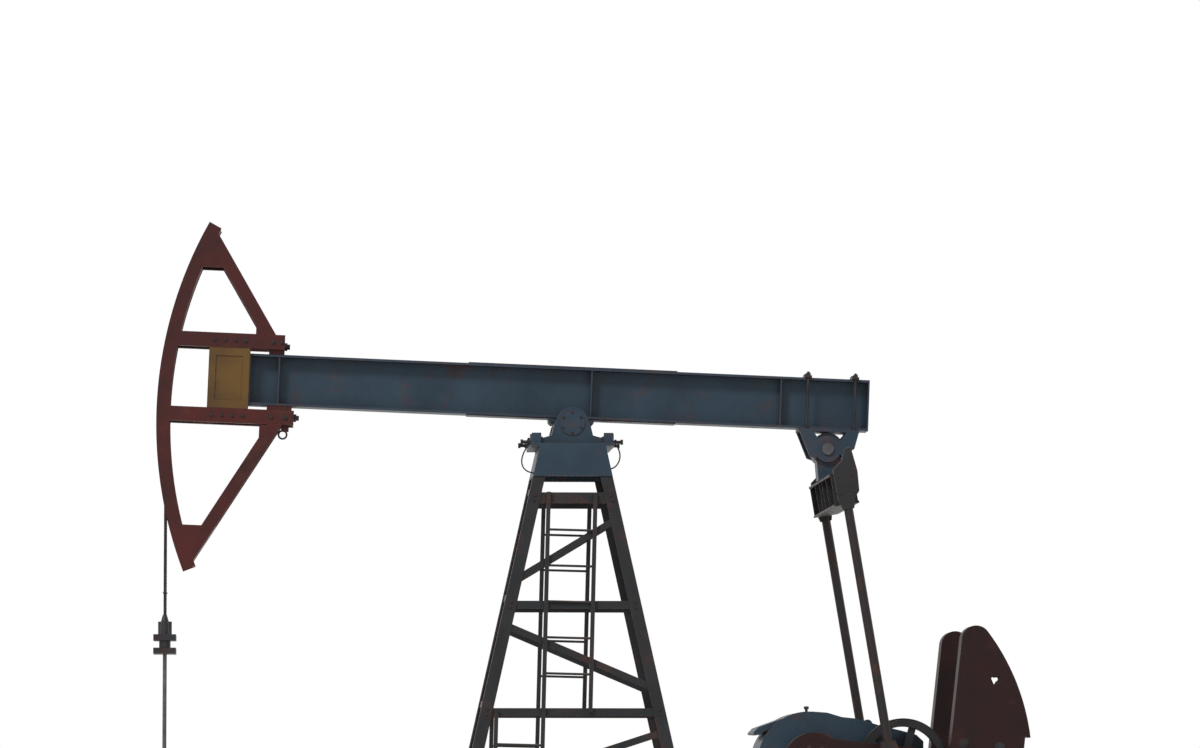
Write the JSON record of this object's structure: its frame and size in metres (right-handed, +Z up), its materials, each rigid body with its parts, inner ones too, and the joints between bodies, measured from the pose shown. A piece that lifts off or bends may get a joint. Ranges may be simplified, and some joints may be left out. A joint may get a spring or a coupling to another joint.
{
  "type": "pumpjack",
  "caption": "Beam pumping unit for an oil well: rocking walking beam with curved head and rod line, driven by cranks with counterweights through a gearbox and belt.",
  "frame": {"origin": "on the ground, at the bottom centre of the whole unit", "axes": "+X along the walking beam to the rear, away from the well; +Y across to the far side; +Z up"},
  "size_m": [7.944, 2.184, 6.7924],
  "materials": {
    "dark_steel": "dark grey-brown weathered paint",
    "blue_paint": "slate-blue paint, weathered",
    "head_red": "oxide-red paint, weathered",
    "ochre_paint": "ochre paint, weathered",
    "pitman_brown": "brown-black paint with rust",
    "weight_red": "dark red paint on cast iron",
    "bare_steel": "turned steel",
    "bolt_steel": "dull steel",
    "rope": "greased wire rope",
    "motor_grey": "grey-blue paint",
    "belt_rubber": "black rubber"
  },
  "bodies": {
    "root": {"skid_rails": "dark_steel", "skid_cross_members": "dark_steel", "leg_feet": "dark_steel", "post_legs": "dark_steel", "post_girts": "dark_steel", "post_braces": "dark_steel", "post_side_ties": "dark_steel", "post_head": "blue_paint", "ladder_near": "dark_steel", "ladder_far": "dark_steel", "bearing_near": "blue_paint", "bearing_far": "blue_paint", "adjusting_blocks": "blue_paint", "adjusting_screws": "bolt_steel", "gearbox_lower": "blue_paint", "gearbox_cover": "blue_paint", "stand_sides": "blue_paint", "stand_ties": "blue_paint", "brake_shoes": "dark_steel", "motor": "motor_grey", "motor_rails": "blue_paint", "drive_belt": "belt_rubber"},
    "beam": {"walking_beam": "blue_paint", "saddle_block": "blue_paint", "saddle_shaft": "bare_steel", "head_cheeks": "head_red", "head_track": "head_red", "head_struts": "head_red", "head_braces": "head_red", "head_gussets": "head_red", "head_box": "ochre_paint", "head_pads": "head_red", "head_latches": "bolt_steel", "rope_wrap": "rope", "rear_hanger": "blue_paint", "rear_pin": "bare_steel", "hanger_bolts": "bolt_steel"},
    "equalizer": {"equalizer_bearing": "blue_paint", "traverse": "dark_steel", "pitman_near": "pitman_brown", "pitman_far": "pitman_brown"},
    "carrier": {"hanging_ropes": "rope", "rope_sockets": "bolt_steel", "carrier_bars": "bolt_steel", "rod_clamp": "bolt_steel", "polished_rod": "bare_steel"},
    "crank": {"crankshaft": "bare_steel", "crank_near": "weight_red", "crank_far": "weight_red", "weights_near": "weight_red", "weights_far": "weight_red"},
    "drive_sheave": {"input_shaft": "bare_steel", "driven_sheave": "dark_steel", "brake_drum": "dark_steel"},
    "motor_rotor": {"motor_sheave": "dark_steel"}
  },
  "joints": [
    {"name": "beam_rock", "type": "hinge", "parent": "root", "child": "beam", "pos_m": [-0.478, 0, 5.1], "axis": [0, 1, 0], "range_deg": [-19.8, 14.4]},
    {"name": "equalizer_swing", "type": "hinge", "parent": "beam", "child": "equalizer", "pos_m": [1.685, 0, 4.9], "axis": [0, 1, 0], "range_deg": [-14.5, 19.9]},
    {"name": "carrier_lift", "type": "slide", "parent": "root", "child": "carrier", "axis": [0, 0, 1], "range_m": [-1.18, 0.8595], "deforming": ["hanging_ropes"]},
    {"name": "crank_turn", "type": "hinge", "parent": "root", "child": "crank", "pos_m": [1.499, 0, 2.255], "axis": [0, 1, 0], "continuous": true},
    {"name": "sheave_turn", "type": "hinge", "parent": "root", "child": "drive_sheave", "pos_m": [2.269, 0, 2.255], "axis": [0, 1, 0], "continuous": true},
    {"name": "motor_turn", "type": "hinge", "parent": "root", "child": "motor_rotor", "pos_m": [3.449, 0, 0.84], "axis": [0, 1, 0], "continuous": true}
  ],
  "couplings": [
    {"joint": "equalizer_swing", "follows": "beam_rock", "ratio": -1},
    {"joint": "carrier_lift", "follows": "beam_rock", "m_per_rad": 3.4},
    {"joint": "sheave_turn", "follows": "crank_turn", "ratio": 37.18},
    {"joint": "motor_turn", "follows": "crank_turn", "ratio": 122.02}
  ]
}
